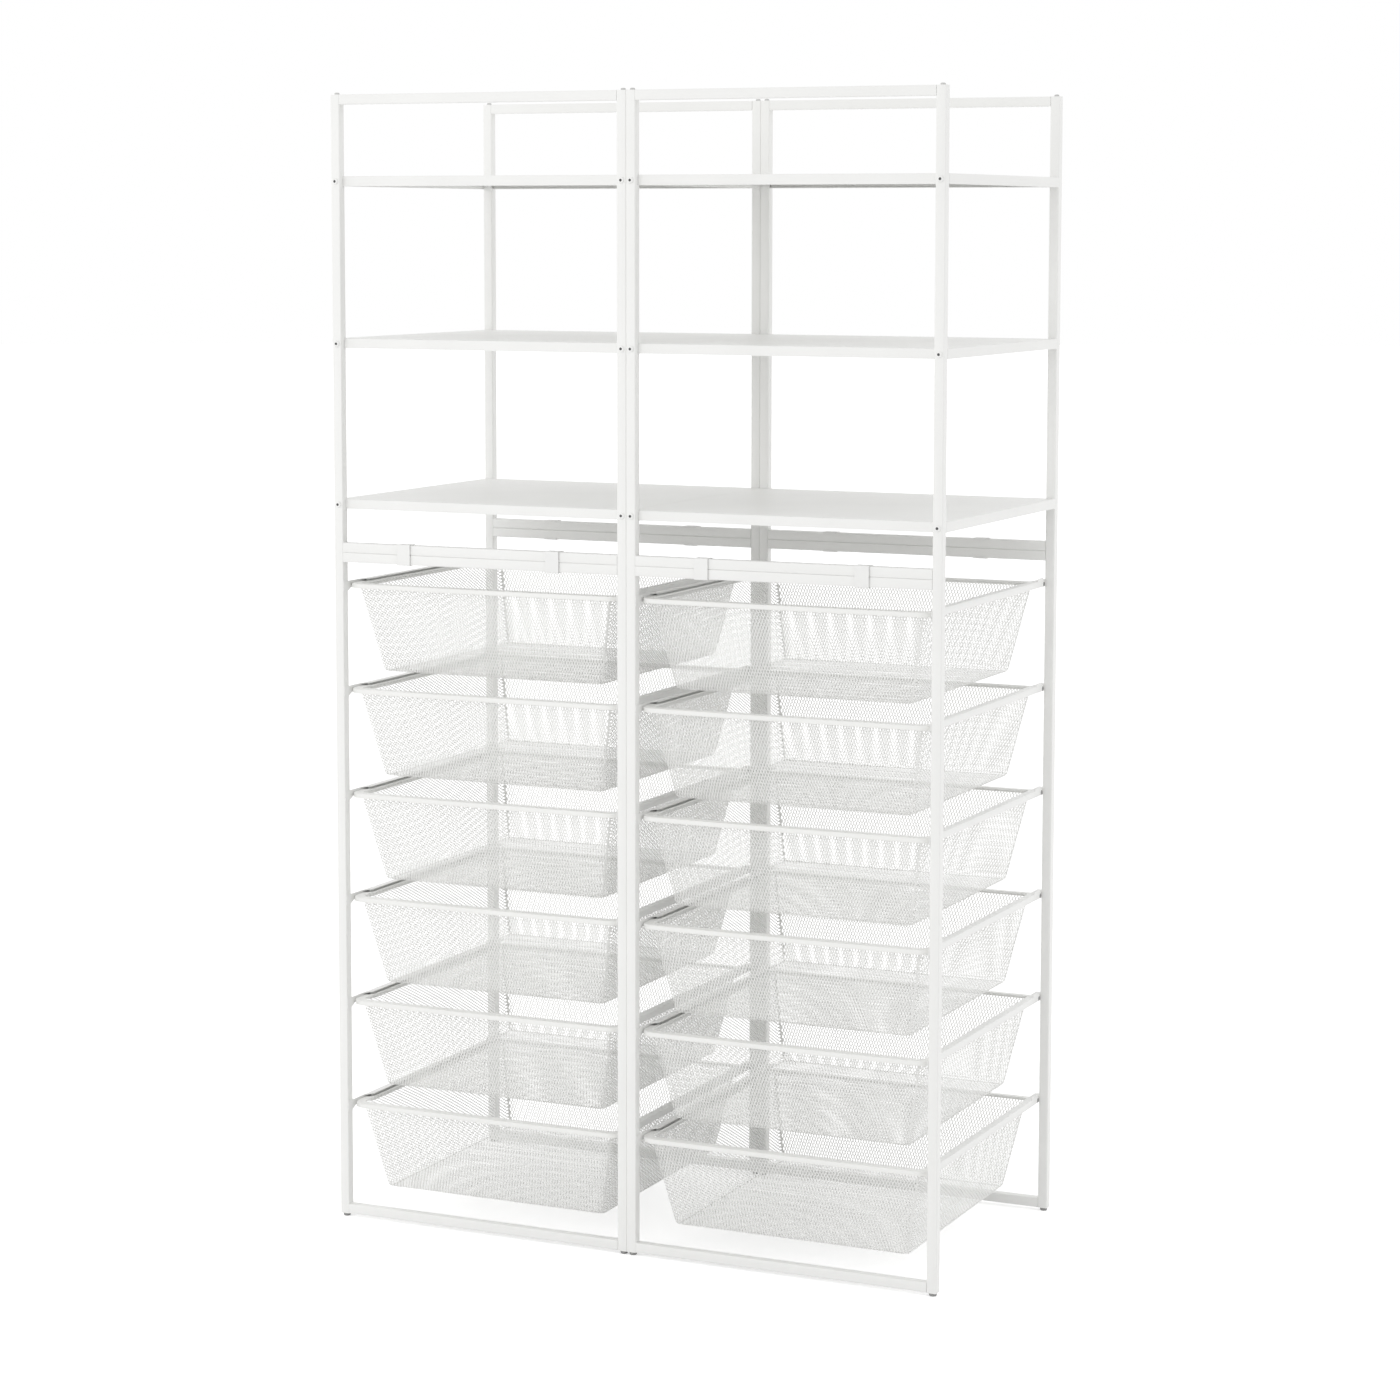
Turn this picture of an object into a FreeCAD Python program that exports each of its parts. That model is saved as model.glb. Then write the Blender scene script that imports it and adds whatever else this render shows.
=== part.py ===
import FreeCAD, Part
import Sketcher
import math
import os
import re

doc = FreeCAD.newDocument("shelf_unit")

# Sizes in millimetres
sizes = (
    ("column_width", 495),
    ("unit_depth", 500),
    ("tube_side", 15),
    ("tube_wall", 1.2),
    ("lower_height", 1033),
    ("upper_height", 692),
    ("foot_height", 5),
    ("foot_top_radius", 6.5),
    ("foot_floor_radius", 5.3),
    ("plug_length", 12),
    ("plug_clearance", 0.1),
    ("stud_radius", 2),
    ("stud_height", 3),
    ("lowest_screw_height", 73),
    ("top_screw_drop", 130),
    ("screw_below_shelf_top", 8),
    ("shelf_flange", 15),
    ("shelf_sheet", 1),
    ("shelf_overlap", 5),
    ("shelf_clearance", 0.3),
    ("shelf_lip", 12),
    ("screw_head_radius", 5),
    ("screw_head_height", 2.3),
    ("screw_shank_radius", 2.5),
    ("screw_end", 4),
    ("screw_clearance", 0.1),
    ("clip_width", 22),
    ("clip_face", 2.2),
    ("clip_sheet", 1),
    ("clip_lip", 2.5),
    ("clip_from_middle", 126),
    ("lowest_basket_height", 171),
    ("top_basket_drop", 52),
    ("basket_spacing", 29),
    ("rail_above", 7.5),
    ("rail_below", 7.5),
    ("rail_web", 10.4),
    ("rail_sheet", 1),
    ("rail_flange", 11.5),
    ("rail_lip", 20),
    ("rail_lip_setback", 25),
    ("rail_tab_height", 4),
    ("rail_tab_length", 30),
    ("rail_tab_setback", 19),
    ("rail_tab_slant", 4),
    ("pin_radius", 2.2),
    ("pin_stand", 3),
    ("pin_setback", 18.5),
    ("pin_above", 1),
    ("rim_gap", 0.8),
    ("rim_sheet", 1),
    ("rim_above", 4),
    ("rim_below", 3),
    ("rim_setback", 7),
    ("rim_bow", 3),
    ("rim_rear_setback", 11),
    ("rim_corner", 22),
    ("flare_length", 39),
    ("shoulder_length", 14),
    ("rear_chamfer", 6),
    ("runner_side_gap", 1),
    ("runner_top_gap", 0.3),
    ("rim_side_land", 9.2),
    ("tray_setback", 21.5),
    ("tray_corner", 20),
    ("tray_floor_corner", 14),
    ("tray_side_taper", 24.5),
    ("tray_front_taper", 29.5),
    ("tray_bevel", 7),
    ("tray_sheet", 1),
    ("opening_band", 6),
    ("opening_web", 8),
)
shelf_levels = 3
basket_levels = 6
end_opening_count = 3
side_opening_count = 2
screw_head_sides = 8
rim_corner_steps = 3
tray_corner_steps = 2
foot_sides = 8
bow_shares = ((0, 1), (0.6, 0.64))

# Sizes that follow from the ones above
derived = (
    ("shelf_pitch", "=(upper_height - lowest_screw_height - top_screw_drop) / %d" % (shelf_levels - 1)),
    ("basket_pitch", "=(lower_height - lowest_basket_height - top_basket_drop) / %d" % (basket_levels - 1)),
    ("tray_depth", "=basket_pitch - basket_spacing"),
    ("rim_rear", "=unit_depth / 2 - rim_rear_setback"),
    ("rail_tab_rear", "=unit_depth / 2 - rail_tab_setback"),
    ("rail_tab_front", "=rail_tab_rear - rail_tab_length"),
    ("pin_place", "=unit_depth / 2 - pin_setback"),
    ("tray_half_width", "=column_width / 2 - tube_side - rail_flange - rim_gap - rim_side_land"),
    ("tray_half_depth", "=unit_depth / 2 - tray_setback"),
)

sheet = doc.addObject("Spreadsheet::Sheet", "Sizes")
for row, (name, value) in enumerate(sizes + derived, start=1):
    sheet.set("A%d" % row, name)
    sheet.set("B%d" % row, str(value))
    sheet.setAlias("B%d" % row, name)
    doc.recompute()


def linked(text):
    names = [name for name, value in sizes + derived]

    def with_sheet(found):
        word = found.group()
        return "Sizes." + word if word in names else word

    return re.sub("[a-z_]+", with_sheet, str(text))


def value_of(text):
    return float(sheet.evalExpression(str(text)))


def bind(thing, field, text):
    thing.setExpression(field, linked(text))


def plane_of(body, role):
    return [part for part in body.Origin.OriginFeatures if part.Role == role][0]


def new_body(name):
    return doc.addObject("PartDesign::Body", name)


def new_sketch(body, name, role, offset=None):
    sketch = body.newObject("Sketcher::SketchObject", name)
    sketch.AttachmentSupport = (plane_of(body, role), [""])
    sketch.MapMode = "FlatFace"
    if offset is not None:
        bind(sketch, "AttachmentOffset.Base.z", offset)
    return sketch


def add_outline(sketch, points):
    first = sketch.GeometryCount
    spots = [FreeCAD.Vector(value_of(x), value_of(y), 0) for x, y in points]
    count = len(points)
    for number in range(count):
        following = spots[(number + 1) % count]
        sketch.addGeometry(Part.LineSegment(spots[number], following))
    for number in range(count):
        here = first + number
        after = first + (number + 1) % count
        sketch.addConstraint(Sketcher.Constraint("Coincident", here, 2, after, 1))
    for number, (x, y) in enumerate(points):
        here = first + number
        for kind, text, spot in (("DistanceX", x, spots[number].x), ("DistanceY", y, spots[number].y)):
            made = sketch.addConstraint(Sketcher.Constraint(kind, -1, 1, here, 1, spot))
            label = kind[-1].lower() + "_of_%d" % here
            sketch.renameConstraint(made, label)
            bind(sketch, "Constraints." + label, text)


def box_points(left, right, near, far):
    return [(left, near), (right, near), (right, far), (left, far)]


def square_points(x, y, half):
    left, right = "%s - (%s)" % (x, half), "%s + %s" % (x, half)
    return box_points(left, right, "%s - (%s)" % (y, half), "%s + %s" % (y, half))


def round_point(x, y, radius, angle):
    return ("%s + %s * cos(%s deg)" % (x, radius, angle), "%s + %s * sin(%s deg)" % (y, radius, angle))


def round_points(x, y, radius, count):
    return [round_point(x, y, radius, 360 * number / count) for number in range(count)]


def rounded_box_points(half_width, half_depth, radius):
    points = []
    for number, (across, along) in enumerate(((1, 1), (-1, 1), (-1, -1), (1, -1))):
        x = "%d * (%s - (%s))" % (across, half_width, radius)
        y = "%d * (%s - (%s))" % (along, half_depth, radius)
        for step in range(tray_corner_steps + 1):
            points.append(round_point(x, y, "(%s)" % radius, 90 * (number + step / tray_corner_steps)))
    return points


def pad(body, name, sketch, length, side="One side", reverse=False, second=None):
    feature = body.newObject("PartDesign::Pad", name)
    feature.Profile = sketch
    bind(feature, "Length", length)
    feature.SideType = side
    feature.Reversed = reverse
    if second is not None:
        bind(feature, "Length2", second)
    return feature


def pocket(body, name, sketch, length=None, side="One side", reverse=False):
    before = body.Tip.Shape.Volume
    feature = body.newObject("PartDesign::Pocket", name)
    feature.Profile = sketch
    feature.SideType = side
    if length is None:
        feature.Type = "ThroughAll"
        if side == "Two sides":
            feature.Type2 = "ThroughAll"
    else:
        bind(feature, "Length", length)
    feature.Reversed = reverse
    doc.recompute()
    if feature.Shape.Volume >= before:
        raise RuntimeError(name + " removed nothing")
    return feature


# Flat-faced solid through a stack of outlines of one count of points
def stacked(name, outlines):
    loops = []
    for points, level in outlines:
        loops.append([FreeCAD.Vector(value_of(x), value_of(y), value_of(level)) for x, y in points])
    faces = [Part.Face(Part.makePolygon(loop + loop[:1])) for loop in (loops[0], loops[-1])]
    for low, high in zip(loops, loops[1:]):
        for here in range(len(low)):
            after = (here + 1) % len(low)
            corners = [low[here], low[after], high[after], high[here], low[here]]
            faces.append(Part.Face(Part.makePolygon(corners)))
    solid = Part.Solid(Part.makeShell(faces))
    if solid.Volume < 0:
        solid.reverse()
    feature = doc.addObject("Part::Feature", name)
    feature.Shape = solid
    return feature


def combined(kind, name, base, tool):
    feature = doc.addObject(kind, name)
    feature.Base = base
    feature.Tool = tool
    doc.recompute()
    if kind == "Part::Cut" and feature.Shape.Volume >= base.Shape.Volume:
        raise RuntimeError(name + " removed nothing")
    return feature


# Welded tube frame
post_across = "(column_width - tube_side) / 2"


def tube_frame(name, height):
    body = new_body(name)
    outside = "tube_side / 2"
    inside = "tube_side / 2 - tube_wall"
    posts = new_sketch(body, name + "_post_sections", "XY_Plane")
    for side in ("-", ""):
        for half in (outside, inside):
            add_outline(posts, square_points(side + post_across, "0", half))
    pad(body, name + "_posts", posts, height)
    rails = new_sketch(body, name + "_rail_sections", "YZ_Plane")
    bores = new_sketch(body, name + "_rail_bores", "YZ_Plane")
    for middle in ("tube_side / 2", "%s - tube_side / 2" % height):
        add_outline(rails, square_points("0", middle, outside))
        add_outline(bores, square_points("0", middle, inside))
    pad(body, name + "_rails", rails, "column_width - 2 * tube_side", "Symmetric")
    doc.recompute()
    opened = "column_width - 2 * tube_side + 2 * tube_wall"
    pocket(body, name + "_bore_cut", bores, opened, "Symmetric")
    return body


lower_frame = tube_frame("lower_frame", "lower_height")
upper_frame = tube_frame("upper_frame", "upper_height")

# Screw holes through the upper posts
screw_hole = "screw_shank_radius + screw_clearance"
holes = new_sketch(upper_frame, "screw_holes", "XZ_Plane")
for level in range(shelf_levels):
    rise = "lowest_screw_height + %d * shelf_pitch" % level
    for side in ("-", ""):
        add_outline(holes, round_points(side + post_across, rise, "(%s)" % screw_hole, 6))
pocket(upper_frame, "screw_hole_cut", holes, None, "Two sides")

# Folded shelf
shelf = new_body("shelf")
tab_face = "(unit_depth / 2 - tube_side)"
nose_face = "(unit_depth / 2 - tube_side + shelf_overlap)"
nose_side = "(column_width / 2 - tube_side - shelf_clearance)"


def shelf_points(inset):
    side = "(column_width / 2 - %s)" % inset
    tab = "(%s - %s)" % (tab_face, inset)
    nose = "(%s - %s)" % (nose_face, inset)
    notch = "(%s - %s)" % (nose_side, inset)
    quarter = ((side, tab), (notch, tab), (notch, nose))
    points = []
    for across, along in ((1, 1), (-1, 1), (-1, -1), (1, -1)):
        ordered = quarter if across * along > 0 else quarter[::-1]
        for x, y in ordered:
            points.append(("%d * %s" % (across, x), "%d * %s" % (along, y)))
    return points


shelf_outline = new_sketch(shelf, "shelf_outline", "XY_Plane")
add_outline(shelf_outline, shelf_points("0"))
pad(shelf, "shelf_blank", shelf_outline, "shelf_flange")
doc.recompute()
shelf_hollow = new_sketch(shelf, "shelf_hollow", "XY_Plane")
add_outline(shelf_hollow, shelf_points("shelf_sheet"))
pocket(shelf, "shelf_inside", shelf_hollow, "shelf_flange - shelf_sheet", "One side", True)
lips = new_sketch(shelf, "return_lips", "XY_Plane")
lip_side = "(%s - shelf_sheet)" % nose_side
lip_outer = "(%s - shelf_sheet)" % nose_face
lip_inner = "(%s - shelf_sheet - shelf_lip)" % nose_face
for end in ("-", ""):
    near, far = (lip_outer, lip_inner) if end == "-" else (lip_inner, lip_outer)
    add_outline(lips, box_points("-" + lip_side, lip_side, end + near, end + far))
pad(shelf, "lips", lips, "shelf_sheet")
doc.recompute()
screw_rise = "shelf_flange - screw_below_shelf_top"
tab_holes = new_sketch(shelf, "tab_holes", "XZ_Plane")
for side in ("-", ""):
    add_outline(tab_holes, round_points(side + post_across, screw_rise, "(%s)" % screw_hole, 6))
pocket(shelf, "tab_hole_cut", tab_holes, None, "Two sides")

# Basket rail, its web against the inner side of the posts
rail = new_body("rail")
rail_section = new_sketch(rail, "rail_section", "XZ_Plane")
slope_start = "rail_above - rail_web"
slope_run = "(rail_above + rail_below - rail_web)"
bend = "rail_sheet * (sqrt(2) - 1)"
rail_outline = (
    ("0", "rail_above"),
    ("0", slope_start),
    (slope_run, "-rail_below"),
    ("rail_lip", "-rail_below"),
    ("rail_lip", "rail_sheet - rail_below"),
    ("%s + %s" % (slope_run, bend), "rail_sheet - rail_below"),
    ("rail_sheet", "%s + %s" % (slope_start, bend)),
    ("rail_sheet", "rail_above - rail_sheet"),
    ("rail_flange", "rail_above - rail_sheet"),
    ("rail_flange", "rail_above"),
)
add_outline(rail_section, rail_outline)
pad(rail, "rail_length", rail_section, "unit_depth", "Symmetric")
rim_front = "(unit_depth / 2 - rim_setback)"
flare_end = "(%s - flare_length)" % rim_front
shoulder_end = "(%s - flare_length - shoulder_length)" % rim_front
doc.recompute()
flange_cut = new_sketch(rail, "flange_cut", "XY_Plane")
flange_points = (
    ("rail_sheet", "-unit_depth"),
    ("rail_sheet", "rim_gap - %s" % flare_end),
    ("rail_flange", "rim_gap - %s" % shoulder_end),
    ("2 * rail_flange", "rim_gap - %s" % shoulder_end),
    ("2 * rail_flange", "-unit_depth"),
)
add_outline(flange_cut, flange_points)
pocket(rail, "flange_cut_away", flange_cut, None, "One side", True)
lip_cut = new_sketch(rail, "lip_cut", "XY_Plane")
lip_edge = "%s + %s" % (slope_run, bend)
lip_end = "rail_lip_setback - unit_depth / 2"
add_outline(lip_cut, box_points(lip_edge, "2 * rail_lip", "-unit_depth", lip_end))
pocket(rail, "lip_cut_away", lip_cut)
tab_outline = new_sketch(rail, "tab_outline", "YZ_Plane")
tab_top = "rail_above + rail_tab_height"
tab_points = (
    ("rail_tab_front", "rail_above"),
    ("rail_tab_rear", "rail_above"),
    ("rail_tab_rear - rail_tab_slant", tab_top),
    ("rail_tab_front + rail_tab_slant", tab_top),
)
add_outline(tab_outline, tab_points)
pad(rail, "rear_tab", tab_outline, "rail_sheet")
right_rail = doc.addObject("Part::Mirroring", "right_rail")
right_rail.Source = rail
right_rail.Normal = FreeCAD.Vector(1, 0, 0)

# Basket rim
rim = new_body("rim")
flare_side = "(column_width / 2 - tube_side - rail_sheet - rim_gap)"
narrow_side = "(column_width / 2 - tube_side - rail_flange - rim_gap)"
corner_x = "(%s - rim_corner)" % flare_side
corner_y = "(rim_corner - %s)" % rim_front
rim_half = []
for across, forward in bow_shares:
    rim_half.append(("%s * %s" % (across, corner_x), "-%s - %s * rim_bow" % (rim_front, forward)))
for step in range(rim_corner_steps + 1):
    rim_half.append(round_point(corner_x, corner_y, "rim_corner", 90 * step / rim_corner_steps - 90))
rim_half.append((flare_side, "-" + flare_end))
rim_half.append((narrow_side, "-" + shoulder_end))
rim_half.append((narrow_side, "rim_rear - rear_chamfer"))
rim_half.append(("%s - rear_chamfer" % narrow_side, "rim_rear"))
rim_points = rim_half + [("-(%s)" % x, y) for x, y in rim_half[:0:-1]]
rim_outline = new_sketch(rim, "rim_outline", "XY_Plane", "-rim_below")
add_outline(rim_outline, rim_points)
rim_blank = pad(rim, "rim_blank", rim_outline, "rim_above + rim_below")
doc.recompute()
below = []
for number, face in enumerate(rim_blank.Shape.Faces, start=1):
    if face.BoundBox.ZMax < value_of("-rim_below") + 0.01:
        below.append("Face%d" % number)
rim_shell = rim.newObject("PartDesign::Thickness", "rim_shell")
rim_shell.Base = (rim_blank, below)
bind(rim_shell, "Value", "rim_sheet")
rim_shell.Reversed = True
rim_shell.Join = "Intersection"
doc.recompute()
opening = new_sketch(rim, "rim_opening", "XY_Plane")
add_outline(opening, rounded_box_points("tray_half_width", "tray_half_depth", "tray_corner"))
pocket(rim, "rim_opening_cut", opening, None, "Two sides")
runner = new_sketch(rim, "runner_sections", "XZ_Plane")
wall_out = "(rail_flange + rim_gap)"
wall_in = "(rail_flange + rim_gap + rim_sheet)"
foot_z = "(rail_sheet - rail_below)"
step_out = "(%s + %s + runner_side_gap)" % (slope_run, bend)
step_in = "(%s + rim_sheet)" % step_out
step_top = "(rail_above - rail_sheet - runner_top_gap)"
runner_outline = (
    (wall_in, "-rim_below"),
    (wall_in, foot_z),
    (step_out, foot_z),
    (step_out, step_top),
    (step_in, step_top),
    (step_in, "%s + rim_sheet" % foot_z),
    (wall_out, "%s + rim_sheet" % foot_z),
    (wall_out, "-rim_below"),
)
post_side = "(column_width / 2 - tube_side)"
for side in ("", "-"):
    points = [("%s(%s - %s)" % (side, post_side, x), z) for x, z in runner_outline]
    add_outline(runner, points)
runner_rear = "rim_rear - rear_chamfer"
pad(rim, "runners", runner, "%s - rim_gap" % shoulder_end, "Two sides", False, runner_rear)

# Basket tray
tray_top = "(rim_above - rim_sheet)"
side_slope = "tray_side_taper / (tray_depth + rim_above)"
front_slope = "tray_front_taper / (tray_depth + rim_above)"


def tray_form(name, grow, floor):
    levels = (
        (tray_top, "0", "tray_corner"),
        ("(%s + tray_bevel)" % floor, "0", "tray_floor_corner"),
        (floor, "tray_bevel", "tray_floor_corner - tray_bevel / 2"),
    )
    outlines = []
    for level, bevel, corner in levels:
        drop = "(rim_above - %s)" % level
        wide = "(tray_half_width - %s * %s + %s - %s)" % (side_slope, drop, grow, bevel)
        deep = "(tray_half_depth - %s * %s + %s - %s)" % (front_slope, drop, grow, bevel)
        outlines.append((rounded_box_points(wide, deep, "%s + %s" % (corner, grow)), level))
    return stacked(name, outlines)


tray_outside = tray_form("tray_outside", "tray_sheet", "(-tray_depth)")
tray_inside = tray_form("tray_inside", "0", "(tray_sheet - tray_depth)")
tray_skin = combined("Part::Cut", "tray_skin", tray_outside, tray_inside)


# Grid of openings in walls and floor, in place of the fine mesh
opening_top = "(-rim_below - opening_band)"
opening_foot = "(tray_bevel + opening_band - tray_depth)"


def opening_reach(half, slope, level):
    return "(%s - %s * (rim_above - %s) - tray_corner - opening_band)" % (half, slope, level)


def opening_edges(count, number, reach):
    left = "(%s * %s + opening_web / 2)" % (2 * number / count - 1, reach)
    right = "(%s * %s - opening_web / 2)" % (2 * (number + 1) / count - 1, reach)
    return left, right


def cut_openings(name, base, role, count, near_reach, near, far_reach, far, length):
    body = new_body(name)
    sketch = new_sketch(body, name + "_outlines", role)
    for number in range(count):
        left, right = opening_edges(count, number, near_reach)
        far_left, far_right = opening_edges(count, number, far_reach)
        add_outline(sketch, [(left, near), (right, near), (far_right, far), (far_left, far)])
    pad(body, name + "_length", sketch, length, "Symmetric")
    doc.recompute()
    return combined("Part::Cut", name + "_cut", base, body)


wide_top = opening_reach("tray_half_width", side_slope, opening_top)
wide_foot = opening_reach("tray_half_width", side_slope, opening_foot)
deep_top = opening_reach("tray_half_depth", front_slope, opening_top)
deep_foot = opening_reach("tray_half_depth", front_slope, opening_foot)
open_ends = cut_openings(
    "end_openings", tray_skin, "XZ_Plane", end_opening_count,
    wide_foot, opening_foot, wide_top, opening_top, "unit_depth"
)
open_sides = cut_openings(
    "side_openings", open_ends, "YZ_Plane", side_opening_count,
    deep_foot, opening_foot, deep_top, opening_top, "column_width"
)
floor_side = "(%s + tray_corner - tray_floor_corner)" % wide_foot
floor_end = "(%s + tray_corner - tray_floor_corner)" % deep_foot
tray = cut_openings(
    "floor_openings", open_sides, "XY_Plane", side_opening_count,
    floor_side, "-" + floor_end, floor_side, floor_end, "2 * (tray_depth + tray_sheet)"
)

# Clip round the two meeting rails
clip = new_body("clip")
clip_section = new_sketch(clip, "clip_section", "YZ_Plane")
reach = "(tube_side + clip_sheet)"
lip_level = "(tube_side - clip_lip)"
clip_outline = (
    ("-clip_face", "-" + reach),
    (reach, "-" + reach),
    (reach, "-" + lip_level),
    ("tube_side", "-" + lip_level),
    ("tube_side", "-tube_side"),
    ("0", "-tube_side"),
    ("0", "tube_side"),
    ("tube_side", "tube_side"),
    ("tube_side", lip_level),
    (reach, lip_level),
    (reach, reach),
    ("-clip_face", reach),
)
add_outline(clip_section, clip_outline)
pad(clip, "clip_blank", clip_section, "clip_width", "Symmetric")


def primitive(kind, name, fields, place=None):
    feature = doc.addObject(kind, name)
    for field, text in fields.items():
        bind(feature, field, text)
    for axis, text in (place or {}).items():
        bind(feature, "Placement.Base." + axis, text)
    return feature


def joined(name, pieces):
    feature = doc.addObject("Part::MultiFuse", name)
    feature.Shapes = pieces
    return feature


# Screw, its seat at height zero
head_fields = {"Circumradius": "screw_head_radius", "Height": "screw_head_height"}
head = primitive("Part::Prism", "screw_head", head_fields)
head.Polygon = screw_head_sides
shank_length = "(tube_side + shelf_sheet + screw_end)"
shank_fields = {"Circumradius": "screw_shank_radius", "Height": shank_length}
shank = primitive("Part::Prism", "screw_shank", shank_fields, {"z": "-" + shank_length})
screw = joined("screw", [head, shank])

# Foot and stacking stud, each with a square plug in the post
plug_side = "(tube_side - 2 * tube_wall - 2 * plug_clearance)"


def plug(name, base):
    fields = {"Length": plug_side, "Width": plug_side, "Height": "plug_length"}
    corner = "-%s / 2" % plug_side
    return primitive("Part::Box", name, fields, {"x": corner, "y": corner, "z": base})


foot_rounds = (("foot_floor_radius", "0"), ("foot_top_radius", "foot_height"))
foot_outlines = [(round_points("0", "0", radius, foot_sides), level) for radius, level in foot_rounds]
foot_taper = stacked("foot_taper", foot_outlines)
foot = joined("foot", [foot_taper, plug("foot_plug", "foot_height")])
stud_pin = primitive("Part::Prism", "stud_pin", {"Circumradius": "stud_radius", "Height": "stud_height"})
stud = joined("stud", [stud_pin, plug("stud_plug", "-plug_length")])

# Rail pin, lying along the width
pin_fields = {"Circumradius": "pin_radius", "Height": "pin_stand"}
pin = primitive("Part::Prism", "pin", pin_fields)
doc.recompute()

# Placed copies
nodes = []


def placed(source, x, y, z, axis=(0, 0, 1), angle=0):
    copy = doc.addObject("Part::Compound", "placed")
    copy.Links = [source]
    turn = FreeCAD.Rotation(FreeCAD.Vector(*axis), angle)
    copy.Placement = FreeCAD.Placement(FreeCAD.Vector(0, 0, 0), turn)
    bind(copy, "Placement.Base.x", x)
    bind(copy, "Placement.Base.y", y)
    bind(copy, "Placement.Base.z", z)
    return copy


def node(label, pieces):
    feature = pieces[0]
    if len(pieces) > 1:
        feature = doc.addObject("Part::Compound", label)
        feature.Links = pieces
    feature.Label = label
    nodes.append(feature)


columns = (("left", "-column_width / 2"), ("right", "column_width / 2"))
ends = (("front", "-"), ("back", ""))
post_along = "(unit_depth - tube_side) / 2"
meeting = "foot_height + lower_height"
feet = []
low_studs = []
high_studs = []
pins = []
for side, middle in columns:
    for end, sign in ends:
        place = sign + post_along
        node("lower_frame_%s_%s" % (end, side), [placed(lower_frame, middle, place, "foot_height")])
        node("upper_frame_%s_%s" % (end, side), [placed(upper_frame, middle, place, meeting)])
        for hand in ("-", "+"):
            spot = "%s %s %s" % (middle, hand, post_across)
            feet.append(placed(foot, spot, place, "0"))
            low_studs.append(placed(stud, spot, place, meeting))
            high_studs.append(placed(stud, spot, place, meeting + " + upper_height"))
    for level in range(shelf_levels):
        rise = meeting + " + lowest_screw_height + %d * shelf_pitch" % level
        shelf_base = rise + " + screw_below_shelf_top - shelf_flange"
        node("shelf_%s_%d" % (side, level + 1), [placed(shelf, middle, "0", shelf_base)])
    for level in range(basket_levels):
        rise = "foot_height + lowest_basket_height + %d * basket_pitch" % level
        name = "%s_%d" % (side, level + 1)
        left_rail = placed(rail, "%s - %s" % (middle, post_side), "0", rise)
        other_rail = placed(right_rail, "%s + %s" % (middle, post_side), "0", rise)
        node("basket_rails_" + name, [left_rail, other_rail])
        node("basket_rim_" + name, [placed(rim, middle, "0", rise)])
        node("basket_tray_" + name, [placed(tray, middle, "0", rise)])
        pin_rise = rise + " + pin_above"
        for hand, away in (("-", "- pin_stand"), ("+", "")):
            spot = "%s %s %s %s" % (middle, hand, post_side, away)
            pins.append(placed(pin, spot, "pin_place", pin_rise, (0, 1, 0), 90))
node("feet", feet)
node("stacking_studs_lower", low_studs)
node("stacking_studs_upper", high_studs)
node("rail_pins", pins)
for end, sign in ends:
    screws = []
    clips = []
    for side, middle in columns:
        for level in range(shelf_levels):
            rise = meeting + " + lowest_screw_height + %d * shelf_pitch" % level
            for hand in ("-", "+"):
                spot = "%s %s %s" % (middle, hand, post_across)
                angle = 90 if end == "front" else -90
                screws.append(placed(screw, spot, sign + "unit_depth / 2", rise, (1, 0, 0), angle))
        for hand in ("-", "+"):
            spot = "%s %s clip_from_middle" % (middle, hand)
            turn = 0 if end == "front" else 180
            clips.append(placed(clip, spot, sign + "unit_depth / 2", meeting, (0, 0, 1), turn))
    node("shelf_screws_" + end, screws)
    node("frame_clips_" + end, clips)
doc.recompute()

# Check and write
for thing in doc.Objects:
    if "Invalid" in thing.State or "Error" in thing.State:
        raise RuntimeError(thing.Label + " did not build")
for thing in nodes:
    if thing.Shape.isNull() or not thing.Shape.isValid():
        raise RuntimeError(thing.Label + " has no sound shape")
os.makedirs("parts", exist_ok=True)
for thing in nodes:
    thing.Shape.exportStep("parts/%s.step" % thing.Label)
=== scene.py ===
import bpy
import bmesh
import math
import numpy as np
from mathutils import Matrix, Vector


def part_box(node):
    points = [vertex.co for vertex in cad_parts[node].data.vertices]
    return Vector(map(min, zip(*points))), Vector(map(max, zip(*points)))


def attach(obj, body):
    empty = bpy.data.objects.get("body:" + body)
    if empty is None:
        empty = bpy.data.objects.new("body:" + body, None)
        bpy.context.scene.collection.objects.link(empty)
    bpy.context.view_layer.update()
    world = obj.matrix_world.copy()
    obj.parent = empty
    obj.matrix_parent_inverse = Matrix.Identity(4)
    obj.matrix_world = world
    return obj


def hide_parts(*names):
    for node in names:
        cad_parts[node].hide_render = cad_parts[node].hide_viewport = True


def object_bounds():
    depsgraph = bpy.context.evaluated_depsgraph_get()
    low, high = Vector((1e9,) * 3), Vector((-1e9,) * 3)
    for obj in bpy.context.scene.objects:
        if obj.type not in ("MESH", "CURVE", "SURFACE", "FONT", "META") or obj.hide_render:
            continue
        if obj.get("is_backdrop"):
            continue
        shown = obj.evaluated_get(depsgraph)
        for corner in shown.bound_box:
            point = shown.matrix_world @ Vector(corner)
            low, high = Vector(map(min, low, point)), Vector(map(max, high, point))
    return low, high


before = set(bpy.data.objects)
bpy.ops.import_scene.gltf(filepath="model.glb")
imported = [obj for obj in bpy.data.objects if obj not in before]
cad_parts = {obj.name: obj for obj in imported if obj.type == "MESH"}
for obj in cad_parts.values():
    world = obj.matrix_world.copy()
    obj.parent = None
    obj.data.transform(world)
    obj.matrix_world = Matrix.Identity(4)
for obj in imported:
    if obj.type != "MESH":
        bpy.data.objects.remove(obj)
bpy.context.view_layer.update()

# Sizes in metres, beside the boxes that the frame gives
MM = 0.001
tube_radius = 1.5 * MM
tube_wall = 1.2 * MM
bore_radius = 0.5 * MM
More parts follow.
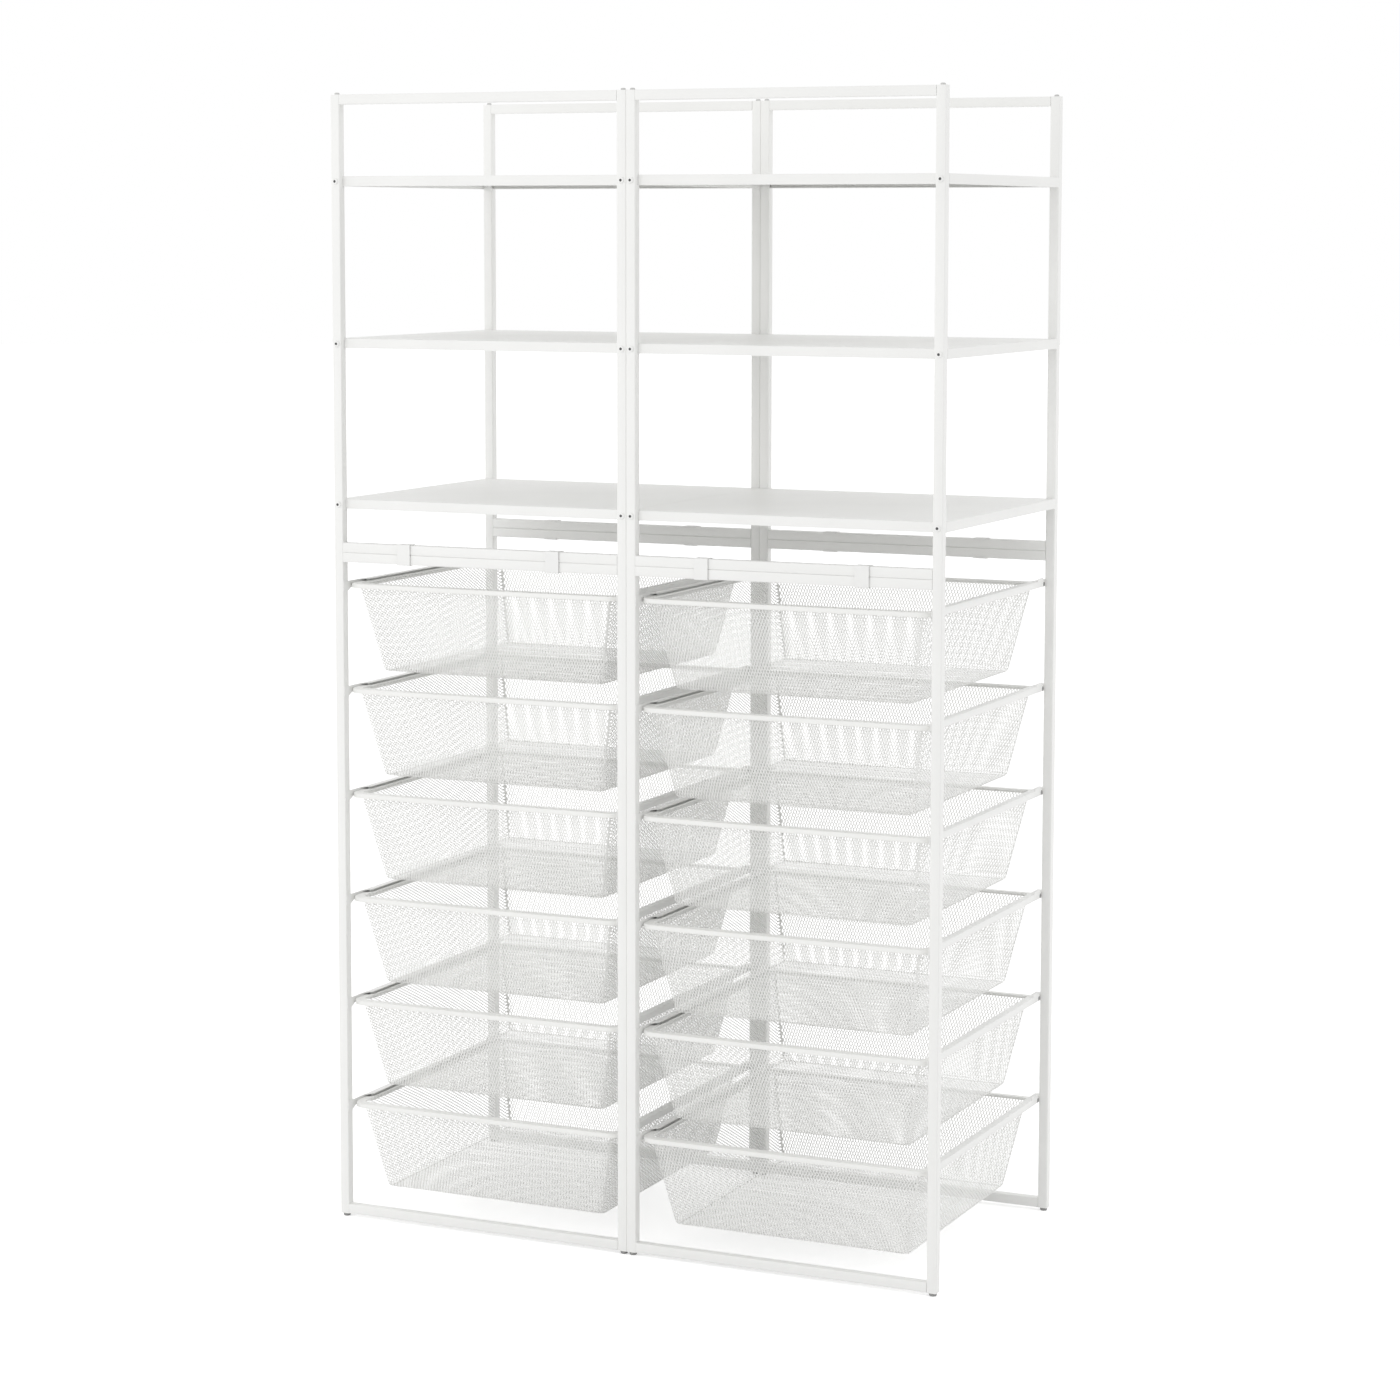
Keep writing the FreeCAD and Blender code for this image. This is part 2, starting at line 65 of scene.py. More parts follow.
bend_radius = 1.3 * MM
sheet = 1.0 * MM
shelf_lip = 12.0 * MM
shelf_notch_gap = 0.3 * MM
shelf_blend = 0.6 * MM
rim_height = 7.0 * MM
rim_top = 4.0 * MM
rim_corner = 22.0 * MM
rear_corner = 7.0 * MM
rim_bow = 3.0 * MM
rim_edge = 0.3 * MM
rim_blend = 0.5 * MM
flare_length = 39.0 * MM
shoulder_length = 14.0 * MM
rail_flange = 11.5 * MM
rail_foot_reach = 6.0 * MM
rim_gap = 0.8 * MM
runner_drop = 6.5 * MM
rail_above = 7.5 * MM
rail_web = 10.4 * MM
rail_bend = 0.9 * MM
cut_back_spare = 0.05 * MM
# Length, height and slant of the rail's tab and toe
rail_tab = (30.0 * MM, 4.0 * MM, 4.0 * MM)
rail_tab_setback = 19.0 * MM
rail_toe = (24.0 * MM, 4.6 * MM, 10.0 * MM)
pin_radius = 3.8 * MM
pin_from_post = 4.1 * MM
pin_level = 1.4 * MM
pin_root = 1.8 * MM
pin_root_bevel = 0.2 * MM
pin_edge = 0.1 * MM
pin_crown = 0.25 * MM
opening_half_width = 217.5 * MM
opening_half_depth = 228.5 * MM
opening_corner = 12.0 * MM
mouth_lip = 2.7 * MM
mouth_round = 0.4 * MM
mouth_lip_sheet = 0.7 * sheet
tray_half_width = 217.5 * MM
tray_half_depth = 234.3 * MM
tray_corner = 14.0 * MM
tray_forward = 3.5 * MM
tray_floor = -132.8 * MM
tray_taper = 28.0 * MM
floor_bend = 8.0 * MM
cell_long = 10.0 * MM
cell_short = 5.0 * MM
hole_share = 0.71
strand_tilt = 0.30 * MM
rib_pitch = 45.0 * MM
rib_half_width = 4.0 * MM
rib_height = 2.2 * MM
rib_end_gap = 10.0 * MM
rib_end_fade = 12.0 * MM
head_radius = 5.0 * MM
shank_radius = 2.4 * MM
shank_bevel = 0.5 * MM
screw_below_shelf_top = 8.0 * MM
socket_flat = 2.0 * MM
socket_depth = 1.6 * MM
clip_sheet = 0.8 * MM
clip_lip = 2.5 * MM
clip_bend = 1.6 * MM
clip_edge = 0.3 * MM
clip_half_width = 11.0 * MM
clip_from_middle = 126.0 * MM
foot_floor_radius = 5.3 * MM
foot_top_radius = 6.5 * MM
plug_half = 6.2 * MM
stud_radius = 3.8 * MM
weld_distance = 0.001 * MM

# Looks: noise scales, bump depths, floor, lamps and camera
coat_tint_scale = 9
coat_grain_scale = 900
coat_grain_depth = 0.15 * MM
plastic_tint_scale = 60
plastic_grain_scale = 1600
plastic_grain_depth = 0.1 * MM
plastic_grain_strength = 0.25
floor_white = 0.85
floor_glow = 0.5
floor_radii = (1, 3, 9, 40)
ambient = 0.93
key_energy = 22
key_place = (-2.1, -4.4, 1.7)
key_size = 2.3
left_energy = 6
left_place = (-2.6, -0.8, 1.4)
right_energy = 5
right_place = (2.6, 1.2, 0.6)
side_lamp_size = 2.0
lamp_target = (0, 0, 0.9)
camera_lens = 89.51
camera_sensor = 36
camera_reach = 100
camera_shift = -0.08
camera_place = (2.226, -4.823, 1.536)
camera_turn = (90 - 5.96, -0.08, 24.74)

# Counts
levels = 6
shelves = 3
sides = ("left", "right")


# Materials
def new_material(name):
    material = bpy.data.materials.new(name)
    material.use_nodes = True
    nodes = material.node_tree.nodes
    return material, nodes, material.node_tree.links, nodes["Principled BSDF"]


def tinted_noise(nodes, links, shader, light, dark, scale):
    place = nodes.new("ShaderNodeTexCoord")
    noise = nodes.new("ShaderNodeTexNoise")
    noise.inputs["Scale"].default_value = scale
    noise.inputs["Detail"].default_value = 4
    ramp = nodes.new("ShaderNodeValToRGB")
    ramp.color_ramp.elements[0].position = 0.3
    ramp.color_ramp.elements[1].position = 0.7
    ramp.color_ramp.elements[0].color = (*dark, 1)
    ramp.color_ramp.elements[1].color = (*light, 1)
    links.new(place.outputs["Object"], noise.inputs["Vector"])
    links.new(noise.outputs["Fac"], ramp.inputs["Fac"])
    links.new(ramp.outputs["Color"], shader.inputs["Base Color"])
    return place


def grain(nodes, links, shader, place, scale, strength, distance):
    noise = nodes.new("ShaderNodeTexNoise")
    noise.inputs["Scale"].default_value = scale
    noise.inputs["Detail"].default_value = 3
    bump = nodes.new("ShaderNodeBump")
    bump.inputs["Strength"].default_value = strength
    bump.inputs["Distance"].default_value = distance
    links.new(place.outputs["Object"], noise.inputs["Vector"])
    links.new(noise.outputs["Fac"], bump.inputs["Height"])
    links.new(bump.outputs["Normal"], shader.inputs["Normal"])
    return noise


def varied_roughness(nodes, links, shader, noise, low, high):
    spread = nodes.new("ShaderNodeMapRange")
    spread.inputs["To Min"].default_value = low
    spread.inputs["To Max"].default_value = high
    links.new(noise.outputs["Fac"], spread.inputs["Value"])
    links.new(spread.outputs["Result"], shader.inputs["Roughness"])


def coated(name, light, dark, rough=(0.36, 0.5), bump=0.12):
    material, nodes, links, shader = new_material(name)
    place = tinted_noise(nodes, links, shader, light, dark, coat_tint_scale)
    noise = grain(nodes, links, shader, place, coat_grain_scale, bump, coat_grain_depth)
    varied_roughness(nodes, links, shader, noise, *rough)
    shader.inputs["Specular IOR Level"].default_value = 0.4
    return material


def moulded(name, light, dark, rough=(0.5, 0.65)):
    material, nodes, links, shader = new_material(name)
    place = tinted_noise(nodes, links, shader, light, dark, plastic_tint_scale)
    noise = grain(nodes, links, shader, place, plastic_grain_scale,
                  plastic_grain_strength, plastic_grain_depth)
    varied_roughness(nodes, links, shader, noise, *rough)
    return material


frame_paint = coated("frame_paint", (0.90, 0.90, 0.885), (0.88, 0.88, 0.865))
shelf_paint = coated("shelf_paint", (0.90, 0.90, 0.885), (0.875, 0.875, 0.86))
rim_paint = coated("rim_paint", (0.90, 0.90, 0.88), (0.88, 0.88, 0.86))
mesh_paint = coated("mesh_paint", (0.92, 0.92, 0.905), (0.89, 0.89, 0.875), (0.45, 0.6))
rail_paint = coated("rail_paint", (0.90, 0.90, 0.885), (0.87, 0.87, 0.86))
clip_paint = coated("clip_paint", (0.88, 0.88, 0.865), (0.86, 0.86, 0.85))
screw_paint = coated("screw_paint", (0.90, 0.90, 0.885), (0.87, 0.87, 0.86))
# Near-black material for the cups inside the screw sockets: painted shade that darkens the recesses
socket_painted_shade = moulded("socket_painted_shade", (0.11, 0.11, 0.11), (0.07, 0.07, 0.07))
foot_plastic = moulded("foot_plastic", (0.36, 0.36, 0.35), (0.28, 0.28, 0.28))
stud_plastic = moulded("stud_plastic", (0.66, 0.66, 0.65), (0.58, 0.58, 0.57))
pin_plastic = moulded("pin_plastic", (0.32, 0.32, 0.32), (0.24, 0.24, 0.24))


# Pieces
def finish_piece(name, bm, material, angle=32):
    bmesh.ops.remove_doubles(bm, verts=bm.verts, dist=weld_distance)
    bmesh.ops.recalc_face_normals(bm, faces=bm.faces)
    limit = math.radians(angle)
    for edge in bm.edges:
        edge.smooth = len(edge.link_faces) == 2 and edge.calc_face_angle(0) < limit
    for face in bm.faces:
        face.smooth = True
    mesh = bpy.data.meshes.new(name)
    bm.to_mesh(mesh)
    bm.free()
    mesh.materials.append(material)
    return mesh


def place_piece(name, mesh, body, nodes, where=(0, 0, 0), turn=0):
    piece = bpy.data.objects.new(name, mesh)
    bpy.context.scene.collection.objects.link(piece)
    piece.location = where
    piece.rotation_euler = (0, 0, turn)
    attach(piece, body)
    if nodes:
        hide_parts(*nodes)
    return piece


def ring(bm, points):
    return [bm.verts.new(point) for point in points]


def skin(bm, first, second):
    count = len(first)
    for i in range(count):
        j = (i + 1) % count
        bm.faces.new((first[i], first[j], second[j], second[i]))


def fill_between(bm, outer, inner):
    edges = []
    for loop in (outer, inner):
        for vert, after in zip(loop, loop[1:] + loop[:1]):
            edges.append(bm.edges.get((vert, after)) or bm.edges.new((vert, after)))
    bmesh.ops.triangle_fill(bm, edges=edges, use_beauty=True, normal=(0, 0, 1))


def basket_level(rim_node):
    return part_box(rim_node)[0].z + runner_drop


def arc_points(centre, radius, start, end, steps):
    points = []
    for k in range(steps + 1):
        angle = start + (end - start) * k / steps
        points.append((centre[0] + radius * math.cos(angle), centre[1] + radius * math.sin(angle)))
    return points


def rounded_rectangle(half_width, half_depth, radius, steps=8):
    points = []
    corners = ((1, 1), (-1, 1), (-1, -1), (1, -1))
    for number, (across, along) in enumerate(corners):
        centre = (across * (half_width - radius), along * (half_depth - radius))
        start = number * math.pi / 2
        points += arc_points(centre, radius, start, start + math.pi / 2, steps)
    return points


# Square tube with rounded edges and an open bore
def tube(bm, low, high, axis):
    others = [i for i in range(3) if i != axis]
    middle = [(low[i] + high[i]) / 2 for i in range(3)]
    half = (high[others[0]] - low[others[0]]) / 2
    outside = rounded_rectangle(half, half, tube_radius, 4)
    inside = rounded_rectangle(half - tube_wall, half - tube_wall, bore_radius, 4)

    def at(points, level):
        placed = []
        for a, b in points:
            spot = [0, 0, 0]
            spot[axis] = level
            spot[others[0]] = middle[others[0]] + a
            spot[others[1]] = middle[others[1]] + b
            placed.append(spot)
        return placed

    out_low = ring(bm, at(outside, low[axis]))
    out_high = ring(bm, at(outside, high[axis]))
    in_low = ring(bm, at(inside, low[axis]))
    in_high = ring(bm, at(inside, high[axis]))
    skin(bm, out_low, out_high)
    skin(bm, in_high, in_low)
    skin(bm, in_low, out_low)
    skin(bm, out_high, in_high)


def frame_mesh(name, node):
    low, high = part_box(node)
    side = high.y - low.y
    bm = bmesh.new()
    for left in (low.x, high.x - side):
        tube(bm, (left, low.y, low.z), (left + side, high.y, high.z), 2)
    for base in (low.z, high.z - side):
        tube(bm, (low.x + side, low.y, base), (high.x - side, high.y, base + side), 0)
    return finish_piece(name, bm, frame_paint)


for side in sides:
    for end in ("front", "back"):
        for level in ("lower", "upper"):
            node = "%s_frame_%s_%s" % (level, end, side)
            piece = "%s_tubes_%s_%s" % (level, end, side)
            place_piece(piece, frame_mesh(piece, node), "frame", [node])


# Folded shelf, notched round the posts, with rounded bends
def notched(half_width, half_depth, notch_x, notch_y, inset):
    x, y = half_width - inset, half_depth - inset
    nx, ny = notch_x - inset, notch_y - inset
    quarter = ((x, ny), (nx, ny), (nx, y))
    points = []
    for across, along in ((1, 1), (-1, 1), (-1, -1), (1, -1)):
        ordered = quarter if across * along > 0 else quarter[::-1]
        points += [(across * a, along * b) for a, b in ordered]
    return points


def shelf_mesh(name, node):
    low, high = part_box(node)
    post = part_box("upper_frame_front_left")
    tube_side = post[1].y - post[0].y
    half_width = (high.x - low.x) / 2
    half_depth = (high.y - low.y) / 2
    height = high.z - low.z
    notch_x = half_width - tube_side - shelf_notch_gap
    notch_y = -post[1].y
    bm = bmesh.new()

    def level(inset, z):
        points = notched(half_width, half_depth, notch_x, notch_y, inset)
        return ring(bm, [(x, y, z) for x, y in points])

    outer = [level(0, 0)]
    steps = 5
    for k in range(steps + 1):
        angle = math.pi / 2 * k / steps
        inset = bend_radius * (1 - math.cos(angle))
        outer.append(level(inset, height - bend_radius * (1 - math.sin(angle))))
    outer.append(level(bend_radius + shelf_blend, height))
    for first, second in zip(outer, outer[1:]):
        skin(bm, first, second)
    bm.faces.new(outer[-1])
    inner_low = level(sheet, 0)
    inner_high = level(sheet, height - sheet)
    skin(bm, inner_high, inner_low)
    skin(bm, inner_low, outer[0])
    bm.faces.new(inner_high[::-1])
    for sign in (-1, 1):
        reach = sorted((sign * (half_depth - sheet), sign * (half_depth - sheet - shelf_lip)))
        middle = Vector((0, sum(reach) / 2, sheet / 2))
        spans = Vector((2 * (notch_x - sheet), reach[1] - reach[0], sheet))
        bmesh.ops.create_cube(bm, size=1, matrix=Matrix.LocRotScale(middle, None, spans))
    return finish_piece(name, bm, shelf_paint)


shelf_form = shelf_mesh("folded_shelf", "shelf_left_1")
for side in sides:
    for number in range(1, shelves + 1):
        node = "shelf_%s_%d" % (side, number)
        low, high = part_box(node)
        where = ((low.x + high.x) / 2, (low.y + high.y) / 2, low.z)
        piece = "folded_shelf_%s_%d" % (side, number)
        place_piece(piece, shelf_form, "frame", [node], where)


# Pressed rim with its flared front
def rim_outline(half_flare, half_narrow, front, rear, inset):
    points = []
    wide = half_flare - inset
    narrow = half_narrow - inset
    near = front + inset
    far = rear - inset
    corner = rim_corner - inset
    back = rear_corner - inset
    steps = 16
    for k in range(steps):
        share = k / steps
        points.append((share * (wide - corner), near - rim_bow * (1 - share * share)))
    points += arc_points((wide - corner, near + corner), corner, -math.pi / 2, 0, 10)
    flare_end = front + flare_length
    for k in range(13):
        share = k / 12
        ease = share * share * (3 - 2 * share)
        points.append((wide + (narrow - wide) * ease, flare_end + shoulder_length * share))
    points += arc_points((narrow - back, far - back), back, 0, math.pi / 2, 6)
    mirrored = [(-x, y) for x, y in points[:0:-1]]
    return points + mirrored


def rim_mesh(name, node):
    low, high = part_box(node)
    middle = (low.x + high.x) / 2
    post_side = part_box("basket_rails_left_1")[1].x - middle
    half_flare = high.x - middle
    half_narrow = post_side - rail_flange - rim_gap
    front = low.y + rim_bow
    rear = high.y
    bottom = rim_top - rim_height
    bm = bmesh.new()

    def level(inset, z):
        outline = rim_outline(half_flare, half_narrow, front, rear, inset)
        return ring(bm, [(x, y, z) for x, y in outline])

    rings = [level(rim_edge, bottom), level(0, bottom + rim_edge)]
    steps = 5
    for k in range(steps + 1):
        angle = math.pi / 2 * k / steps
        inset = bend_radius * (1 - math.cos(angle))
        rings.append(level(inset, rim_top - bend_radius * (1 - math.sin(angle))))
    rings.append(level(bend_radius + rim_blend, rim_top))
    for first, second in zip(rings, rings[1:]):
        skin(bm, first, second)

    def mouth(wider, z):
        outline = rounded_rectangle(
            opening_half_width + wider, opening_half_depth + wider, opening_corner + wider)
        return ring(bm, [(x, y, z) for x, y in outline])

    lip_end = rim_top - mouth_lip
    lip = [mouth(mouth_round, rim_top), mouth(0, rim_top - mouth_round), mouth(0, lip_end)]
    lip += [mouth(mouth_lip_sheet, lip_end), mouth(mouth_lip_sheet, rim_top - sheet)]
    for first, second in zip(lip, lip[1:]):
        skin(bm, second, first)
    under = level(sheet, rim_top - sheet)
    inner = level(sheet, bottom)
    skin(bm, under, inner)
    skin(bm, inner, rings[0])
    fill_between(bm, rings[-1], lip[0])
    fill_between(bm, under, lip[-1])
    seat = rail_above - rail_web + sheet
    runner_top = high.z - basket_level(node)
    foot_edge = post_side - rail_foot_reach
    profile = (
        (half_narrow - 0.5 * sheet, seat),
        (foot_edge, seat),
        (foot_edge, runner_top),
        (foot_edge - sheet, runner_top),
        (foot_edge - sheet, seat + sheet),
        (half_narrow - 0.5 * sheet, seat + sheet),
    )
    start = front + flare_length + shoulder_length
    for hand in (-1, 1):
        near = ring(bm, [(hand * x, start, z) for x, z in profile])
        far = ring(bm, [(hand * x, rear - rear_corner, z) for x, z in profile])
        skin(bm, near, far)
        bm.faces.new(near)
        bm.faces.new(far)
    return finish_piece(name, bm, rim_paint)


column_middles = {}
for side in sides:
    low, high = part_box("lower_frame_front_" + side)
    column_middles[side] = (low.x + high.x) / 2
baskets = ["%s_%d" % (side, number) for side in sides for number in range(1, levels + 1)]


def basket_place(name):
    return (column_middles[name.split("_")[0]], 0, basket_level("basket_rim_" + name))


rim_form = rim_mesh("pressed_rim", "basket_rim_left_1")
for name in baskets:
    node = "basket_rim_" + name
    place_piece("pressed_rim_" + name, rim_form, "basket_" + name,
                [node], basket_place(name))


# Rail pairs, folded to a C, its flanges cut back beside the rim's flare
def plate(bm, outline, near, far):
    first = ring(bm, [(near, y, z) for y, z in outline])
    second = ring(bm, [(far, y, z) for y, z in outline])
    skin(bm, first, second)
    bm.faces.new(first)
    bm.faces.new(second)


def rail_mesh(name, node, rim_node):
    low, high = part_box(node)
    side = (high.x - low.x) / 2
    rim_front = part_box(rim_node)[0].y + rim_bow
    flare_end = rim_front + flare_length + rim_gap
    top, base = rail_above, rail_above - rail_web
    tab_length, tab_height, tab_slant = rail_tab
    toe_length, toe_height, toe_slant = rail_toe
    tab_rear = high.y - rail_tab_setback
    toe = ((low.y, base + sheet), (low.y, base - toe_height),
           (low.y + toe_length - toe_slant, base - toe_height), (low.y + toe_length, base + sheet))
    tab = ((tab_rear - tab_length, top - sheet), (tab_rear, top - sheet),
           (tab_rear - tab_slant, top + tab_height),
           (tab_rear - tab_length + tab_slant, top + tab_height))
    bm = bmesh.new()

    def section(hand, y, flange):
        bend = 0.3 * rail_bend
        upper = [(0, top - rail_bend), (bend, top - bend), (rail_bend, top)]
        lower = [(x, base + top - z) for x, z in upper[::-1]]
        inner = [(flange, top), (flange, top - sheet), (sheet, top - sheet)]
        inner += [(x, base + top - z) for x, z in inner[::-1]]
        return ring(bm, [(hand * (side - x), y, z) for x, z in upper + inner + lower])

    for hand in (-1, 1):
        thin = sheet + cut_back_spare
        rings = [section(hand, low.y, thin), section(hand, flare_end, thin),
                 section(hand, flare_end + shoulder_length, rail_flange),
                 section(hand, high.y, rail_flange)]
        for first, second in zip(rings, rings[1:]):
            skin(bm, first, second)
        bm.faces.new(rings[0])
        bm.faces.new(rings[-1])
        plate(bm, toe, hand * side, hand * (side - sheet))
        plate(bm, tab, hand * side, hand * (side - sheet))
    return finish_piece(name, bm, rail_paint)


rail_form = rail_mesh("rail_pair", "basket_rails_left_1", "basket_rim_left_1")
for name in baskets:
    node = "basket_rails_" + name
    place_piece("rail_pair_" + name, rail_form, "frame", [node], basket_place(name))


# Expanded-metal tray
mouth_top = rim_top - sheet / 2


def wall_profile(count):
    height = mouth_top - tray_floor
    turn = math.atan2(height, tray_taper)
    length = math.hypot(height, tray_taper)
    straight = length - floor_bend * math.tan(turn / 2)
    total = straight + floor_bend * turn
    rows = []
    for k in range(count + 1):
        path = total * k / count
        share = min(path, straight) / length
        swept = max(path - straight, 0) / floor_bend
        inset = floor_bend * (math.sin(turn) - math.sin(turn - swept))
        drop = floor_bend * (math.cos(turn - swept) - math.cos(turn))
        rows.append((share, inset, mouth_top - height * share - drop))
    return rows


def mouth_at(share, inset):
    reach = tray_taper * share + inset
    return tray_half_width - reach, tray_half_depth - reach, tray_corner - inset


def wall_points(columns, rows, on_side):
    points = np.zeros((columns + 1, rows + 1, 3))
    for j, (share, inset, z) in enumerate(wall_profile(rows)):
        half_width, half_depth, corner = mouth_at(share, inset)
        across, out = (half_depth, half_width) if on_side else (half_width, half_depth)
        flat = across - corner
        reach = flat + corner * math.pi / 4
        for i in range(columns + 1):
            path = reach * (2 * i / columns - 1)
            swept = max(abs(path) - flat, 0) / corner
            u = math.copysign(min(abs(path), flat) + corner * math.sin(swept), path)
            v = out - corner + corner * math.cos(swept)
            points[i, j] = (v, u, z) if on_side else (u, -v, z)
    return points


def rib_rise(x, y, half_width):
    from_rib = abs((y / rib_pitch) % 1 - 0.5) * rib_pitch
    ridge = max(1 - from_rib / rib_half_width, 0)
    fade = (half_width - rib_end_gap - abs(x)) / rib_end_fade
    return rib_height * ridge * min(max(fade, 0), 1)


def floor_points(columns, rows):
    share, inset, z = wall_profile(1)[-1]
    half_width, half_depth, corner = mouth_at(share, inset)
    points = np.zeros((columns + 1, rows + 1, 3))
    for j in range(rows + 1):
        y = half_depth * (2 * j / rows - 1)
        beyond = max(abs(y) - half_depth + corner, 0)
        reach = half_width - corner + math.sqrt(max(corner * corner - beyond * beyond, 0))
        for i in range(columns + 1):
            x = reach * (2 * i / columns - 1)
            points[i, j] = (x, y, z + rib_rise(x, y, half_width))
    return points


# Strands round lozenge holes, each strand tilted as in stretched sheet
class Mesh:
    def __init__(self):
        self.verts = []
        self.faces = []

    def add(self, point):
        self.verts.append(tuple(point))
        return len(self.verts) - 1


def lattice(mesh, points, tilts):
    columns, rows = points.shape[0] - 1, points.shape[1] - 1
    known = {}

    def node_at(spot):
        if spot not in known:
            known[spot] = mesh.add(points[spot])
        return known[spot]

    for i in range(columns + 1):
        for j in range((i + 1) % 2, rows + 1, 2):
            around = [(i - 1, j), (i, j - 1), (i + 1, j), (i, j + 1)]
            inside = [(a, b) for a, b in around if 0 <= a <= columns and 0 <= b <= rows]
            corners = [node_at(spot) for spot in inside]
            if len(inside) < 3:
                corners.append(node_at((i, j)))
            if len(inside) < 4:
                mesh.faces.append(corners)
                continue
            spots = [points[spot] for spot in around]
            middle = sum(spots) / 4
            normal = np.cross(spots[2] - spots[0], spots[3] - spots[1])
            normal /= np.linalg.norm(normal)
            inner = []
            for spot, tilt in zip(spots, tilts):
                edge = middle + hole_share * (spot - middle)
                inner.append(mesh.add(edge + normal * strand_tilt * tilt))
            for k in range(4):
                n = (k + 1) % 4
                mesh.faces.append((corners[k], corners[n], inner[n], inner[k]))


def even(value):
    return 2 * round(value / 2)


def tray_mesh(name):
    mesh = Mesh()
    width = 2 * (tray_half_width - tray_corner * (1 - math.pi / 4))
    depth = 2 * (tray_half_depth - tray_corner * (1 - math.pi / 4))
    height = mouth_top - tray_floor
    half_turn = np.array((-1, -1, 1))
    front = wall_points(even(width / cell_short * 2), even(height / cell_long * 2), False)
    right = wall_points(even(depth / cell_long * 2), even(height / cell_short * 2), True)
    for wall, tilts in ((front, (-1, 0, 1, 0)), (right, (0, -1, 0, 1))):
        lattice(mesh, wall, tilts)
        lattice(mesh, wall * half_turn, tilts)
    share, inset = wall_profile(1)[-1][:2]
    half_width, half_depth = mouth_at(share, inset)[:2]
    columns = even(2 * half_width / cell_short * 2)
    rows = even(2 * half_depth / cell_long * 2) + 1
    lattice(mesh, floor_points(columns, rows), (-1, 0, 1, 0))
    data = bpy.data.meshes.new(name)
    data.from_pydata([(x, y - tray_forward, z) for x, y, z in mesh.verts], [], mesh.faces)
    data.materials.append(mesh_paint)
    return data


tray_form = tray_mesh("mesh_tray")
for name in baskets:
    node = "basket_tray_" + name
    place_piece("mesh_tray_" + name, tray_form, "basket_" + name,
                [node], basket_place(name))


# Small turned pieces: screws, feet, studs and pins
def turned(bm, rings, place, steps=24):
    loops = []
    for radius, level, sides_of_ring in rings:
        points = []
        for k in range(steps):
            angle = 2 * math.pi * k / steps
            reach = radius
            if sides_of_ring:
                part = 2 * math.pi / sides_of_ring
                reach = radius / math.cos((angle + part / 2) % part - part / 2)
            points.append(place @ Vector((reach * math.cos(angle), reach * math.sin(angle), level)))
        loops.append(ring(bm, points))
    for first, second in zip(loops, loops[1:]):
        skin(bm, first, second)
    bm.faces.new(loops[0][::-1])
    bm.faces.new(loops[-1])


def post_middles(end):
    spots = []
    for side in sides:
        low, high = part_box("upper_frame_%s_%s" % (end, side))
        half = (high.y - low.y) / 2
        for x in (low.x + half, high.x - half):
            spots.append((x, low.y + half))
    return spots


def screw_mesh(name, end):
    low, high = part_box("shelf_screws_" + end)
    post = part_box("upper_frame_%s_left" % end)
    seat = post[0].y if end == "front" else post[1].y
    outward = -1 if end == "front" else 1
    head = (seat - low.y) if end == "front" else (high.y - seat)
    shank = (high.y - seat) if end == "front" else (seat - low.y)
    rings = [
        (0.8 * shank_radius, -shank, 0),
        (shank_radius, shank_bevel - shank, 0),
        (shank_radius, 0, 0),
        (head_radius, 0, 0),
        (head_radius, 0.45 * head, 0),
        (0.96 * head_radius, 0.72 * head, 0),
        (0.86 * head_radius, 0.92 * head, 0),
        (0.74 * head_radius, head, 0),
        (socket_flat, head, 6),
        (0.95 * socket_flat, head - socket_depth, 6),
    ]
    # Dark cup just inside each hex socket: painted shade for the recess
    shade_cup = [
        (0.97 * socket_flat, 0.2 * head, 6),
        (0.97 * socket_flat, 0.97 * head, 6),
        (0.4 * socket_flat, 0.6 * head, 6),
    ]
    turn = Matrix.Rotation(-outward * math.pi / 2, 4, "X")
    screws = bmesh.new()
    shade_cups = bmesh.new()
    for x, _ in post_middles(end):
        for number in range(1, shelves + 1):
            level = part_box("shelf_left_%d" % number)[1].z - screw_below_shelf_top
            place = Matrix.Translation((x, seat, level)) @ turn
            turned(screws, rings, place)
            turned(shade_cups, shade_cup, place)
    heads = finish_piece(name, screws, screw_paint)
    return heads, finish_piece(name + "_sockets", shade_cups, socket_painted_shade)


for end in ("front", "back"):
    name = "round_screws_" + end
    heads, sockets = screw_mesh(name, end)
    place_piece(name, heads, "frame", ["shelf_screws_" + end])
    # Dark socket cups: painted shade in the screw recesses
    place_piece("screw_socket_shade_" + end, sockets, "frame", None)


def foot_mesh(name):
    plug_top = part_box("feet")[1].z
    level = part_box("lower_frame_front_left")[0].z
    rings = [
        (0.88 * foot_floor_radius, 0, 0),
        (foot_floor_radius, 0.12 * level, 0),
        (0.98 * foot_top_radius, 0.9 * level, 0),
        (foot_top_radius, level, 0),
        (plug_half, level, 4),
        (plug_half, plug_top, 4),
    ]
    bm = bmesh.new()
    for end in ("front", "back"):
        for x, y in post_middles(end):
            turned(bm, rings, Matrix.Translation((x, y, 0)), 32)
    return finish_piece(name, bm, foot_plastic)


place_piece("taper_feet", foot_mesh("taper_feet"), "frame", ["feet"])


def stud_mesh(name):
    low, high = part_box("stacking_studs_upper")
    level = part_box("upper_frame_front_left")[1].z
    tip = high.z - level
    rings = [
        (plug_half, low.z - level, 4),
        (plug_half, 0, 4),
        (stud_radius, 0, 0),
        (stud_radius, 0.5 * tip, 0),
        (0.88 * stud_radius, 0.8 * tip, 0),
        (0.55 * stud_radius, tip, 0),
    ]
    bm = bmesh.new()
    for end in ("front", "back"):
        for x, y in post_middles(end):
            turned(bm, rings, Matrix.Translation((x, y, level)), 32)
    return finish_piece(name, bm, stud_plastic)


studs = stud_mesh("round_studs")
place_piece("round_studs", studs, "frame", ["stacking_studs_upper"])


